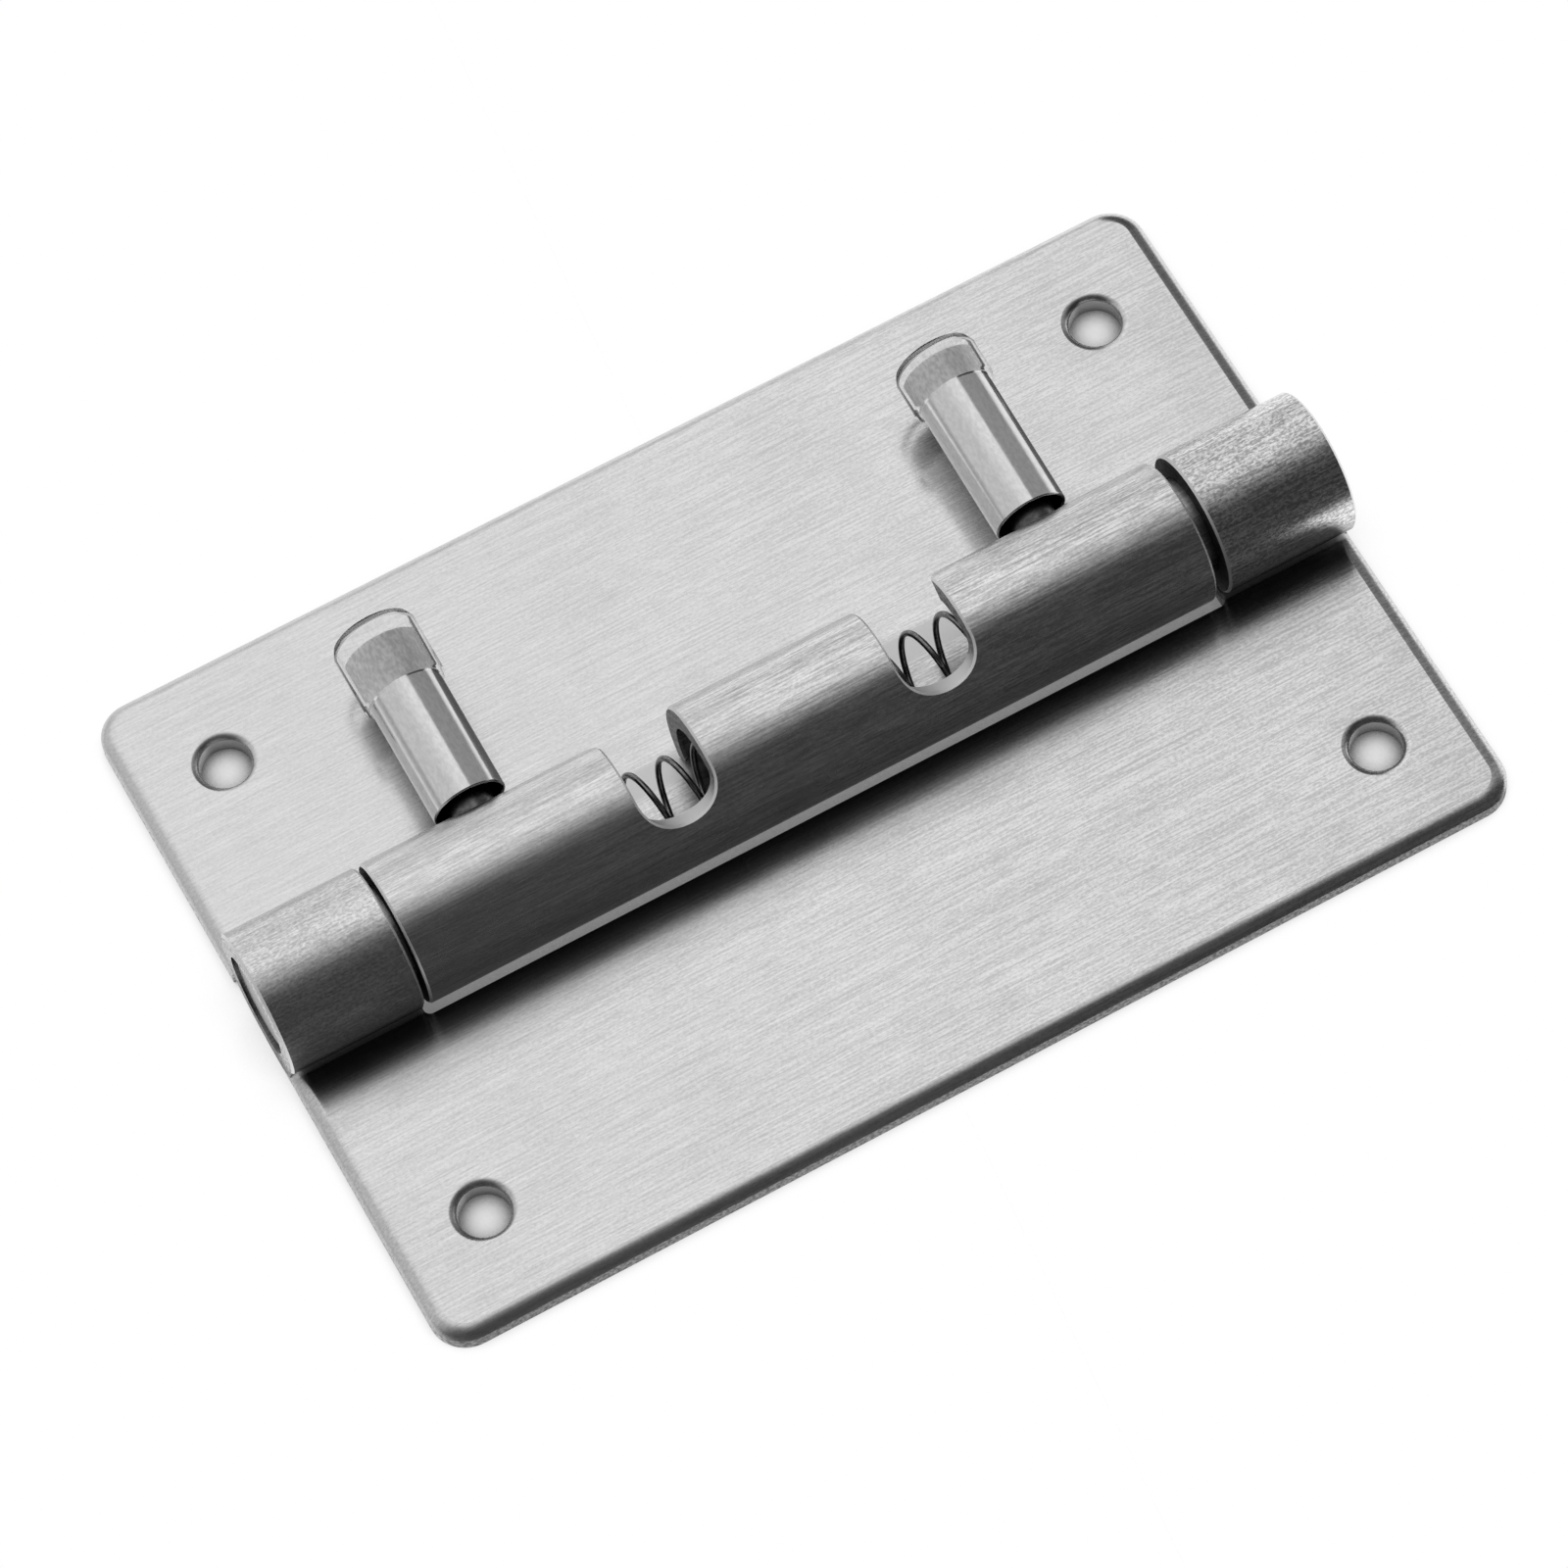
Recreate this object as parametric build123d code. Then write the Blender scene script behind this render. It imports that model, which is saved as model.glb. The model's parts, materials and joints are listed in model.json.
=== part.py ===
from build123d import *
import math
import os

# Spring bolt hinge: two stamped leaves whose edges are rolled into one barrel. Two spring-loaded
# bolts pin the barrel together, and each is drawn back by a small lever on the rear leaf.
# Millimetres. X runs along the barrel, +Y towards the rear leaf, Z = 0 is the mounting face.

# Leaves
LEAF_LENGTH = 100.0
LEAF_REACH = 33.0
SHEET = 2.0
CORNER_RADIUS = 3.2
EDGE_ROLL_WIDTH = 1.3
EDGE_ROLL_DEPTH = 0.75

# Screw holes
HOLE_RADIUS = 2.25
HOLE_SPACING = 83.5
HOLE_REACH = 23.5
HOLE_ROLL_WIDTH = 0.65
HOLE_ROLL_DEPTH = 0.42

# Rolled barrel
BARREL_RADIUS = 6.4
KNUCKLE_LENGTH = 12.2
LEFT_GAP = 0.5
RIGHT_GAP = 1.2
CUT_OUT_REACH = 5.85
CUT_OUT_CORNER = 0.6
FREE_EDGE_GAP = 0.15
BARREL_EDGE_CHAMFER = 0.2

# Lever slots, and the notches over the top in which a drawn lever is parked
SLOT_CLEARANCE = 0.33
SLOT_CORNER = 1.0
NOTCH_CENTRE = 12.1
NOTCH_WIDTH = 6.8
NOTCH_END_ANGLE = 142.0
NOTCH_CORNER = 1.3
STOP_CLEARANCE = 0.2

# Bolts
BOLT_CLEARANCE = 0.05
BOLT_INSET = 0.3
BOLT_INNER_END = 20.0
BOLT_NOSE = 0.6
BOLT_INNER_CHAMFER = 0.3
SPRING_POCKET_DEPTH = 3.0

# Bolt spring
WIRE_RADIUS = 0.27
WIRE_SIDES = 6
COIL_RADIUS = 2.95
COIL_PITCH = 3.28
COIL_PHASE = 1.9
POCKET_CLEARANCE = 0.15
SPRING_SEAT_GAP = 0.02

# Levers
LEVER_PLACE = 26.5
LEVER_TILT = 4.0
STUD_RADIUS = 2.0
STUD_FOOT = 2.6
STUD_TIP = 19.0
THREAD_CLEARANCE = 0.02
TUBE_RADIUS = 3.3
TUBE_START = 7.15
TUBE_END = 23.1
TUBE_MOUTH_RADIUS = 3.0
TUBE_MOUTH_DEPTH = 3.5
TUBE_CHAMFER = 0.35

# Clear caps: the left one is the longer
CAP_RADIUS = 3.8
CAP_GRIP_CLEARANCE = 0.02
CAP_END_ROUND = 1.1
LEFT_CAP_START = 18.75
LEFT_CAP_END = 25.2
RIGHT_CAP_START = 20.3
RIGHT_CAP_END = 24.5
CAP_END_WALL = 0.8

BORE_RADIUS = BARREL_RADIUS - SHEET
BOLT_RADIUS = BORE_RADIUS - BOLT_CLEARANCE
HALF_LENGTH = LEAF_LENGTH / 2
BARREL_LEFT = -HALF_LENGTH + KNUCKLE_LENGTH + LEFT_GAP
BARREL_RIGHT = HALF_LENGTH - KNUCKLE_LENGTH - RIGHT_GAP
FREE_EDGE_SINE = (BORE_RADIUS - FREE_EDGE_GAP) / BARREL_RADIUS
FREE_EDGE_ANGLE = math.degrees(math.asin(FREE_EDGE_SINE))
FREE_EDGE_REACH = BARREL_RADIUS * math.sqrt(1 - FREE_EDGE_SINE**2)
SLOT_EDGE_ANGLE = LEVER_TILT + math.degrees(math.asin((STUD_RADIUS + SLOT_CLEARANCE) / BORE_RADIUS))
OVERSHOOT = 1.0

os.makedirs("parts", exist_ok=True)


# A plane through the barrel's axis whose normal points out of the barrel at an angle, measured
# from the rear leaf's side upwards
def radial_plane(x, angle):
    turn = math.radians(angle)
    return Plane(
        origin=(x, 0, BARREL_RADIUS),
        x_dir=(1, 0, 0),
        z_dir=(0, math.cos(turn), math.sin(turn)),
    )


# Circle-arc cut that rounds a blanked edge: tangent to the face, deepest at the edge
def edge_roll_section(width, depth):
    arc = TangentArc((-width, 0), (0, -depth), tangent=(1, 0))
    outside = Polyline((0, -depth), (depth, -depth), (depth, depth), (-width, depth), (-width, 0))
    return make_face([arc, *outside.edges()])


# Rounded rim of a screw hole
def hole_roll():
    section = mirror(edge_roll_section(HOLE_ROLL_WIDTH, HOLE_ROLL_DEPTH), Plane.YZ)
    return revolve(Plane.XZ * Pos(HOLE_RADIUS, SHEET) * section, Axis.Z)


# Flat plate of the rear leaf with its screw holes and its blanked edges
def leaf_plate():
    outline = Pos(0, LEAF_REACH / 2) * Rectangle(LEAF_LENGTH, LEAF_REACH)
    far_corners = outline.vertices().group_by(Axis.Y)[-1]
    plate = extrude(fillet(far_corners, CORNER_RADIUS), SHEET)
    rim = FilletPolyline(
        (HALF_LENGTH, FREE_EDGE_REACH, SHEET),
        (HALF_LENGTH, LEAF_REACH, SHEET),
        (-HALF_LENGTH, LEAF_REACH, SHEET),
        (-HALF_LENGTH, FREE_EDGE_REACH, SHEET),
        radius=CORNER_RADIUS,
    )
    rim_plane = Plane(origin=rim @ 0, x_dir=(1, 0, 0), z_dir=(0, 1, 0))
    section = mirror(edge_roll_section(EDGE_ROLL_WIDTH, EDGE_ROLL_DEPTH), Plane.XZ)
    plate -= sweep(rim_plane * section, path=rim)
    for side in (-1, 1):
        place = Pos(side * HOLE_SPACING / 2, HOLE_REACH, 0)
        plate -= place * Cylinder(HOLE_RADIUS, 3 * SHEET)
        plate -= place * hole_roll()
    return plate


# Cut-out in a plate, between two places along the barrel, that clears the other leaf's barrel
def cut_out(start, end):
    outline = RectangleRounded(end - start, CUT_OUT_REACH + OVERSHOOT, CUT_OUT_CORNER)
    middle = Pos((start + end) / 2, (CUT_OUT_REACH - OVERSHOOT) / 2, -SHEET)
    return extrude(middle * outline, 3 * SHEET)


# Rolled edge of the rear leaf: it passes under the bore, comes up in front, goes over the top and
# ends just above the leaf at the rear
def barrel_roll(start, end):
    centre = (0, BARREL_RADIUS)
    turn = -270 - FREE_EDGE_ANGLE
    outer = CenterArc(centre, BARREL_RADIUS, -90, turn)
    inner = CenterArc(centre, BORE_RADIUS, -90, turn)
    section = make_face([outer, inner, Line(outer @ 0, inner @ 0), Line(outer @ 1, inner @ 1)])
    return Pos(start, 0, 0) * extrude(Plane.YZ * section, end - start)


# The outer skin of a piece of barrel
def outer_skin(barrel):
    return barrel.faces().filter_by(GeomType.CYLINDER).sort_by(SortBy.AREA)[-1]


# The edges of a piece of barrel's outer skin that show: all but its free edge and the line along
# which it meets the plate
def shown_edges(barrel):
    return outer_skin(barrel).edges().filter_by_position(Axis.Z, BARREL_RADIUS / 2, 2 * BARREL_RADIUS)


# Wedge of the barrel's round, from its axis outwards, between two places along it and two angles
def wedge(start, end, low, high):
    centre = (0, BARREL_RADIUS)
    arc = CenterArc(centre, BARREL_RADIUS + OVERSHOOT, low, high - low)
    section = make_face([arc, Line(arc @ 1, centre), Line(centre, arc @ 0)])
    return Pos(start, 0, 0) * extrude(Plane.YZ * section, end - start)


# Rounds the corner of an opening at a place along the barrel and an angle
def round_corner(opening, x, angle, radius):
    corner = radial_plane(x, angle).offset(BARREL_RADIUS).origin
    edge = opening.edges().filter_by(GeomType.LINE).sort_by_distance(corner)[0]
    return fillet(edge, radius)


# L-shaped opening for the right lever: a slot along the back of the barrel, open to its free edge,
# and a notch from the slot's inner end over the top. The sheet was punched before it was rolled, so
# the wall at the notch's round end runs towards the barrel's axis.
def lever_opening():
    half_width = NOTCH_WIDTH / 2
    spread = half_width / BARREL_RADIUS
    inner_side = NOTCH_CENTRE - half_width
    outer_side = NOTCH_CENTRE + half_width
    slot_end = LEVER_PLACE + STUD_RADIUS + STOP_CLEARANCE
    below_free_edge = (-90 - FREE_EDGE_ANGLE) / 2
    round_end_angle = NOTCH_END_ANGLE - math.degrees(spread)

    slot = wedge(inner_side, slot_end, below_free_edge, SLOT_EDGE_ANGLE)
    slot = round_corner(slot, slot_end, SLOT_EDGE_ANGLE, SLOT_CORNER)
    notch = wedge(inner_side, outer_side, below_free_edge, round_end_angle)
    opening = round_corner(slot + notch, outer_side, SLOT_EDGE_ANGLE, NOTCH_CORNER)

    outlines = []
    for radius in (BORE_RADIUS - OVERSHOOT, BARREL_RADIUS + OVERSHOOT):
        stretch = radius * math.tan(spread) / half_width
        place = radial_plane(NOTCH_CENTRE, round_end_angle).offset(radius)
        outlines.append(place * scale(Circle(half_width), by=(1, stretch, 1)))
    return opening + loft(outlines, ruled=True)


def build_front_leaf():
    plate = leaf_plate() - cut_out(-HALF_LENGTH + KNUCKLE_LENGTH, HALF_LENGTH - KNUCKLE_LENGTH)
    leaf = plate
    for start in (-HALF_LENGTH, HALF_LENGTH - KNUCKLE_LENGTH):
        knuckle = barrel_roll(start, start + KNUCKLE_LENGTH)
        leaf += chamfer(shown_edges(knuckle), BARREL_EDGE_CHAMFER)
    return mirror(leaf, Plane.XZ)


def build_rear_leaf():
    plate = leaf_plate()
    plate -= cut_out(-HALF_LENGTH - OVERSHOOT, BARREL_LEFT)
    plate -= cut_out(BARREL_RIGHT, HALF_LENGTH + OVERSHOOT)
    opening = lever_opening()
    barrel = barrel_roll(BARREL_LEFT, BARREL_RIGHT) - opening - mirror(opening, Plane.YZ)
    return plate + chamfer(shown_edges(barrel), BARREL_EDGE_CHAMFER)


# Right-hand bolt: a round pin with a chamfered nose, a pocket for the spring in its inner end and
# a tapped cross hole for the lever's stud
def build_bolt():
    length = HALF_LENGTH - BOLT_INSET - BOLT_INNER_END
    inner_face = Plane(origin=(BOLT_INNER_END, 0, BARREL_RADIUS), x_dir=(0, 1, 0), z_dir=(1, 0, 0))
    pin = extrude(inner_face * Circle(BOLT_RADIUS), length)
    pin = chamfer(pin.edges().group_by(Axis.X)[-1], BOLT_NOSE)
    pin = chamfer(pin.edges().group_by(Axis.X)[0], BOLT_INNER_CHAMFER)
    pocket_radius = COIL_RADIUS + WIRE_RADIUS + POCKET_CLEARANCE
    pin -= extrude(inner_face * Circle(pocket_radius), SPRING_POCKET_DEPTH)
    foot = radial_plane(LEVER_PLACE, LEVER_TILT).offset(-STUD_FOOT)
    return pin - extrude(foot * Circle(STUD_RADIUS + THREAD_CLEARANCE), STUD_FOOT + BARREL_RADIUS)


# Open-coiled spring that pushes the two bolts apart, seated in their pockets. Its wire has six
# sides, which keeps so long a coil light.
def build_spring():
    pocket_floor = BOLT_INNER_END + SPRING_POCKET_DEPTH
    reach = pocket_floor - WIRE_RADIUS - SPRING_SEAT_GAP
    coil = Helix(pitch=COIL_PITCH, height=2 * reach, radius=COIL_RADIUS)
    start_turn = (-reach - COIL_PHASE) / COIL_PITCH * 360
    place = Plane(origin=(-reach, 0, BARREL_RADIUS), x_dir=(0, 1, 0), z_dir=(1, 0, 0))
    path = place * Rot(0, 0, start_turn) * coil
    wire_section = Plane(origin=path @ 0, z_dir=path % 0) * RegularPolygon(WIRE_RADIUS, WIRE_SIDES)
    return sweep(wire_section, path=path, is_frenet=True)


# Round rod along the right-hand lever, between two distances from the barrel's axis
def lever_rod(radius, start, end):
    return extrude(radial_plane(LEVER_PLACE, LEVER_TILT).offset(start) * Circle(radius), end - start)


def build_stud():
    return lever_rod(STUD_RADIUS, -STUD_FOOT, STUD_TIP)


# Steel sleeve of a lever: open towards the barrel, tapped on to its stud, closed at the far end
def build_lever_tube():
    tube = lever_rod(TUBE_RADIUS, TUBE_START, TUBE_END)
    tube = chamfer(tube.edges().group_by(Axis.Y)[-1], TUBE_CHAMFER)
    tube -= lever_rod(TUBE_MOUTH_RADIUS, TUBE_START, TUBE_START + TUBE_MOUTH_DEPTH)
    return tube - lever_rod(STUD_RADIUS + THREAD_CLEARANCE, TUBE_START, STUD_TIP + THREAD_CLEARANCE)


# Clear plastic cap pushed over the end of a lever
def build_cap(start, end):
    cap = lever_rod(CAP_RADIUS, start, end)
    cap = fillet(cap.edges().group_by(Axis.Y)[-1], CAP_END_ROUND)
    return cap - lever_rod(TUBE_RADIUS + CAP_GRIP_CLEARANCE, start, end - CAP_END_WALL)


# The left-hand copy of a right-hand piece
def left_of(piece):
    return mirror(piece, Plane.YZ)


pieces = {
    "front_leaf": build_front_leaf(),
    "rear_leaf": build_rear_leaf(),
    "bolt_spring": build_spring(),
    "right_bolt": build_bolt(),
    "left_bolt": left_of(build_bolt()),
    "right_lever_stud": build_stud(),
    "left_lever_stud": left_of(build_stud()),
    "right_lever_tube": build_lever_tube(),
    "left_lever_tube": left_of(build_lever_tube()),
    "right_lever_cap": build_cap(RIGHT_CAP_START, RIGHT_CAP_END),
    "left_lever_cap": left_of(build_cap(LEFT_CAP_START, LEFT_CAP_END)),
}

for name, piece in pieces.items():
    export_step(piece, f"parts/{name}.step")
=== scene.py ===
# %% [markdown]
# # A spring bolt hinge in brushed steel
# The hinge is two stamped leaves whose edges are rolled into one barrel. Two bolts slide in the
# barrel, a spring pushes them apart, and each has a small lever with a clear cap on its end.
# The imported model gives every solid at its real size. This script loads it as a fixed frame and
# gives it its looks: the brushed grain, the polished levers, the wire spring and the clear caps.

# %% Load the frame
import json
import math

import bmesh
import bpy
from mathutils import Matrix, Vector


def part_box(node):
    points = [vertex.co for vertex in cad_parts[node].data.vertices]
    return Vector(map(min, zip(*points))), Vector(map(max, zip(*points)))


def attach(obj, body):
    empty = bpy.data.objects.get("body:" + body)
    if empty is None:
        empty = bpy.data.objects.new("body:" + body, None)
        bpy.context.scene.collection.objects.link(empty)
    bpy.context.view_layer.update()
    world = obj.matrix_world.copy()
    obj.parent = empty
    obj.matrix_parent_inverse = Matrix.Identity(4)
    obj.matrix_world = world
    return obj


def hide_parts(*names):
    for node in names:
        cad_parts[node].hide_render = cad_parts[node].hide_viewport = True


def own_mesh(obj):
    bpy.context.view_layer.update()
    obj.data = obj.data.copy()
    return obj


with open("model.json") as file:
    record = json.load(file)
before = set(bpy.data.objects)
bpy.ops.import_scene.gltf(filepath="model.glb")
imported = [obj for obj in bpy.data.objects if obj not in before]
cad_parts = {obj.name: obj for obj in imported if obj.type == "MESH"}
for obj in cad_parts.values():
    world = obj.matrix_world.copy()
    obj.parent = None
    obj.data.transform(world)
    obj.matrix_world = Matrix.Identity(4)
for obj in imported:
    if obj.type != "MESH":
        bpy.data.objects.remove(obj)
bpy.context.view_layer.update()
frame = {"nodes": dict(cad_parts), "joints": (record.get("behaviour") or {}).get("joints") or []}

MM = 0.001
NODES = frame["nodes"]
JOINTS = {joint["name"]: joint for joint in frame["joints"]}
AXIS_HEIGHT = JOINTS["leaf_hinge"]["pos_m"][2]
print("nodes:", sorted(NODES))
print("height of the barrel's axis in mm:", AXIS_HEIGHT / MM)

# %% [markdown]
# ## The camera
# The photograph looks down at the hinge from the front left with a long lens, which keeps the
# leaves' edges nearly parallel. The place, aim and roll were solved from the corners of the leaves,
# the screw holes and the barrel. The camera is aimed first and then rolled about its own axis,
# because a tracking rotation alone always keeps it upright.

# %% Camera
CAMERA_PLACE = Vector((-103.3, -257.37, 540.8)) * MM
CAMERA_AIM = Vector((-1.98, -1.0, 0.0)) * MM
CAMERA_ROLL = math.radians(-7.83)
CAMERA_LENS = 167.5
CAMERA_SENSOR = 36.0

lens = bpy.data.cameras.new("camera")
lens.lens = CAMERA_LENS
lens.sensor_width = CAMERA_SENSOR
camera = bpy.data.objects.new("camera", lens)
bpy.context.scene.collection.objects.link(camera)
aimed = (CAMERA_AIM - CAMERA_PLACE).to_track_quat("-Z", "Y").to_matrix().to_4x4()
camera.matrix_world = Matrix.Translation(CAMERA_PLACE) @ aimed @ Matrix.Rotation(CAMERA_ROLL, 4, "Z")
bpy.context.scene.camera = camera
bpy.context.scene.view_settings.view_transform = "Standard"
print("camera distance in mm:", round((CAMERA_AIM - CAMERA_PLACE).length / MM, 1))

# %% [markdown]
# ## Helpers for nodes
# Every material below is a small net of nodes. The first helper adds a node, sets its settings,
# and for each named input either links a socket or writes a plain value. The others are the steps
# that come up again and again: arithmetic on numbers and on vectors, a soft step between two
# levels, a straight mix of two values by a mask, and how open the space around a point is.


# %% Node helpers
OPENNESS_SAMPLES = 8


def add_node(tree, kind, inputs=None, **settings):
    node = tree.nodes.new(kind)
    for name, value in settings.items():
        setattr(node, name, value)
    for name, value in (inputs or {}).items():
        if isinstance(value, bpy.types.NodeSocket):
            tree.links.new(value, node.inputs[name])
        else:
            node.inputs[name].default_value = value
    return node


def math_node(tree, operation, first, second=0.0, clamp=False):
    inputs = {0: first, 1: second}
    return add_node(tree, "ShaderNodeMath", inputs, operation=operation, use_clamp=clamp).outputs[0]


def vector_node(tree, operation, inputs, output):
    return add_node(tree, "ShaderNodeVectorMath", inputs, operation=operation).outputs[output]


def smooth_step(tree, value, start, end, low=0.0, high=1.0):
    inputs = {"Value": value, "From Min": start, "From Max": end, "To Min": low, "To Max": high}
    kind = "ShaderNodeMapRange"
    return add_node(tree, kind, inputs, interpolation_type="SMOOTHSTEP").outputs["Result"]


def mix_values(tree, mask, low, high):
    inputs = {"Value": mask, "To Min": low, "To Max": high}
    return add_node(tree, "ShaderNodeMapRange", inputs).outputs["Result"]


def openness_node(tree, inputs):
    kind = "ShaderNodeAmbientOcclusion"
    return add_node(tree, kind, inputs, samples=OPENNESS_SAMPLES).outputs["AO"]


print("samples for openness:", OPENNESS_SAMPLES)

# %% [markdown]
# ## The studio
# Brushed steel has little colour of its own: what it shows is the room. The photograph was lit by
# one wide soft light behind and above the hinge, with the camera's side of the room left dark, so
# the leaves and the top of the barrel are bright and the barrel's front is dark. A grey panel at
# the right draws the crisp band along each polished sleeve. Further to the rear the panel is nearly
# black, where the leaves' right-hand edges see it, and past it the backdrop is pale down to the
# horizon. The room is dimmer straight behind and at the left, there most of all low down. The
# world paints that room by direction.

# %% World
ROOM_DARK = 0.06
ROOM_LIGHT = 1.0
LIGHT_STARTS_Y = -0.45
LIGHT_FULL_Y = 0.45
REAR_LEVEL = 0.76
REAR_START_Y = 0.7
REAR_FULL_Y = 0.97
LEFT_LEVEL = 0.7
LEFT_FULL_X = -0.7
LEFT_START_X = 0.22
LEFT_LOW_LEVEL = 0.55
LEFT_LOW_X = -0.5
LEFT_LOW_HEIGHT = 0.25
PANEL_LEVEL = 0.36
PANEL_DEEP_LEVEL = 0.07
PANEL_DEEPENS_Y = 0.36
PANEL_DEEP_Y = 0.43
PANEL_START_X = 0.27
PANEL_FULL_X = 0.34
PANEL_FADES_X = 0.9
PANEL_ENDS_X = 0.94
HORIZON_LEVEL = 0.8
HORIZON_HEIGHT = 0.06
HORIZON_FADE_HEIGHT = 0.18
HORIZON_START_X = 0.1
HORIZON_FULL_X = 0.5

world = bpy.data.worlds.new("studio")
bpy.context.scene.world = world
world.use_nodes = True
room = world.node_tree
room.nodes.clear()
direction = add_node(room, "ShaderNodeTexCoord").outputs["Generated"]
toward = add_node(room, "ShaderNodeSeparateXYZ", {0: direction}).outputs
behind = smooth_step(room, toward["Y"], LIGHT_STARTS_Y, LIGHT_FULL_Y, ROOM_DARK, ROOM_LIGHT)
rear = smooth_step(room, toward["Y"], REAR_START_Y, REAR_FULL_Y, 1.0, REAR_LEVEL)
panel_level = smooth_step(room, toward["Y"], PANEL_DEEPENS_Y, PANEL_DEEP_Y, PANEL_LEVEL, PANEL_DEEP_LEVEL)
panel = smooth_step(room, toward["X"], PANEL_START_X, PANEL_FULL_X, 1.0, panel_level)
past_panel = smooth_step(room, toward["X"], PANEL_FADES_X, PANEL_ENDS_X)
level = math_node(room, "MULTIPLY", behind, math_node(room, "MAXIMUM", panel, past_panel))
level = math_node(room, "MULTIPLY", level, rear)
left = smooth_step(room, toward["X"], LEFT_FULL_X, LEFT_START_X, LEFT_LEVEL, 1.0)
level = math_node(room, "MULTIPLY", level, left)
height = math_node(room, "ABSOLUTE", toward["Z"])
left_low = smooth_step(room, height, 0.0, LEFT_LOW_HEIGHT, LEFT_LOW_LEVEL, 1.0)
not_left = smooth_step(room, toward["X"], LEFT_LOW_X, 0.0)
level = math_node(room, "MULTIPLY", level, math_node(room, "MAXIMUM", left_low, not_left))
low_down = smooth_step(room, height, HORIZON_HEIGHT, HORIZON_FADE_HEIGHT, HORIZON_LEVEL, 0.0)
rightwards = smooth_step(room, toward["X"], HORIZON_START_X, HORIZON_FULL_X)
level = math_node(room, "MAXIMUM", level, math_node(room, "MULTIPLY", low_down, rightwards))
sky = add_node(room, "ShaderNodeBackground", {"Color": level, "Strength": 1.0})
add_node(room, "ShaderNodeOutputWorld", {"Surface": sky.outputs[0]})
print("room levels, dark and light:", ROOM_DARK, ROOM_LIGHT)

# %% [markdown]
# ## The floor
# The floor is a wide disc just under the hinge.

# %% Floor disc
FLOOR_RADIUS = 6000 * MM
FLOOR_DROP = 0.05 * MM
FLOOR_SIDES = 64

floor_mesh = bpy.data.meshes.new("floor")
disc = bmesh.new()
bmesh.ops.create_circle(disc, cap_ends=True, segments=FLOOR_SIDES, radius=FLOOR_RADIUS)
bmesh.ops.translate(disc, verts=disc.verts, vec=(0, 0, -FLOOR_DROP))
disc.to_mesh(floor_mesh)
disc.free()
floor = bpy.data.objects.new("floor", floor_mesh)
bpy.context.scene.collection.objects.link(floor)
print("floor radius in m:", FLOOR_RADIUS)

# %% [markdown]
# ## The floor's paper
# The camera, the reflections and the view through the clear caps show the paper's own white, and
# all other rays meet plain matt paper. A painted shadow darkens that white where the hinge closes
# over it, so that the slit beside the barrel looks deep. Down the screw holes the painted shadow
# also deepens towards the side that the light comes from, where the hole's wall stands in the way.
# At the left, reflections see a dimmer floor than the camera does, in step with the dimmer left
# side of the room.

# %% Floor material
FLOOR_SHADE_REACH = 8 * MM
FLOOR_OPEN_ENOUGH = 0.75
FLOOR_DARKEST = 0.13
HOLE_LIGHT_FROM = (0.65, 0.45, 0.6)
HOLE_CLOSED = 0.25
HOLE_OPEN_ENOUGH = 0.8
HOLE_DARKEST = 0.15
HOLES_END_X = 48 * MM
HOLES_START_Y = 15 * MM
HOLES_END_Y = 31 * MM
FLOOR_LEFT_LEVEL = 0.5
FLOOR_LEFT_START_X = -20 * MM
FLOOR_LEFT_FULL_X = -120 * MM
MATT_PAPER = (0.9, 0.9, 0.9, 1.0)

paper = bpy.data.materials.new("studio_paper")
paper.use_nodes = True
tree = paper.node_tree
tree.nodes.clear()
rays = add_node(tree, "ShaderNodeLightPath").outputs
seen = math_node(tree, "ADD", rays["Is Camera Ray"], rays["Is Glossy Ray"])
seen = math_node(tree, "ADD", seen, rays["Is Transmission Ray"], clamp=True)
# painted shadow: the paper's white is darkened where the hinge closes over it
openness = openness_node(tree, {"Distance": FLOOR_SHADE_REACH})
shade = smooth_step(tree, openness, 0.0, FLOOR_OPEN_ENOUGH, FLOOR_DARKEST, 1.0)
# painted shadow: down the screw holes the white darkens towards the light's side
painted_hole_shadow = openness_node(tree, {"Distance": FLOOR_SHADE_REACH, "Normal": HOLE_LIGHT_FROM})
painted_hole_shadow = smooth_step(tree, painted_hole_shadow, HOLE_CLOSED, HOLE_OPEN_ENOUGH, HOLE_DARKEST, 1.0)
place = add_node(tree, "ShaderNodeTexCoord").outputs["Object"]
place = add_node(tree, "ShaderNodeSeparateXYZ", {0: place}).outputs
from_middle_x = math_node(tree, "ABSOLUTE", place["X"])
from_middle_y = math_node(tree, "ABSOLUTE", place["Y"])
no_hole = math_node(tree, "GREATER_THAN", from_middle_x, HOLES_END_X)
for test, limit in (("GREATER_THAN", HOLES_END_Y), ("LESS_THAN", HOLES_START_Y)):
    no_hole = math_node(tree, "ADD", no_hole, math_node(tree, test, from_middle_y, limit), clamp=True)
shade = math_node(tree, "MULTIPLY", shade, math_node(tree, "MAXIMUM", painted_hole_shadow, no_hole))
dimmer = smooth_step(tree, place["X"], FLOOR_LEFT_FULL_X, FLOOR_LEFT_START_X, FLOOR_LEFT_LEVEL, 1.0)
direct = math_node(tree, "ADD", rays["Is Camera Ray"], rays["Is Transmission Ray"], clamp=True)
shade = math_node(tree, "MULTIPLY", shade, math_node(tree, "MAXIMUM", dimmer, direct))
white = add_node(tree, "ShaderNodeEmission", {"Color": shade, "Strength": 1.0})
matt = add_node(tree, "ShaderNodeBsdfDiffuse", {"Color": MATT_PAPER})
both = add_node(tree, "ShaderNodeMixShader", {0: seen, 1: matt.outputs[0], 2: white.outputs[0]})
add_node(tree, "ShaderNodeOutputMaterial", {"Surface": both.outputs[0]})
floor_mesh.materials.append(paper)
print("floor shade reaches in mm:", FLOOR_SHADE_REACH / MM)

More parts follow.
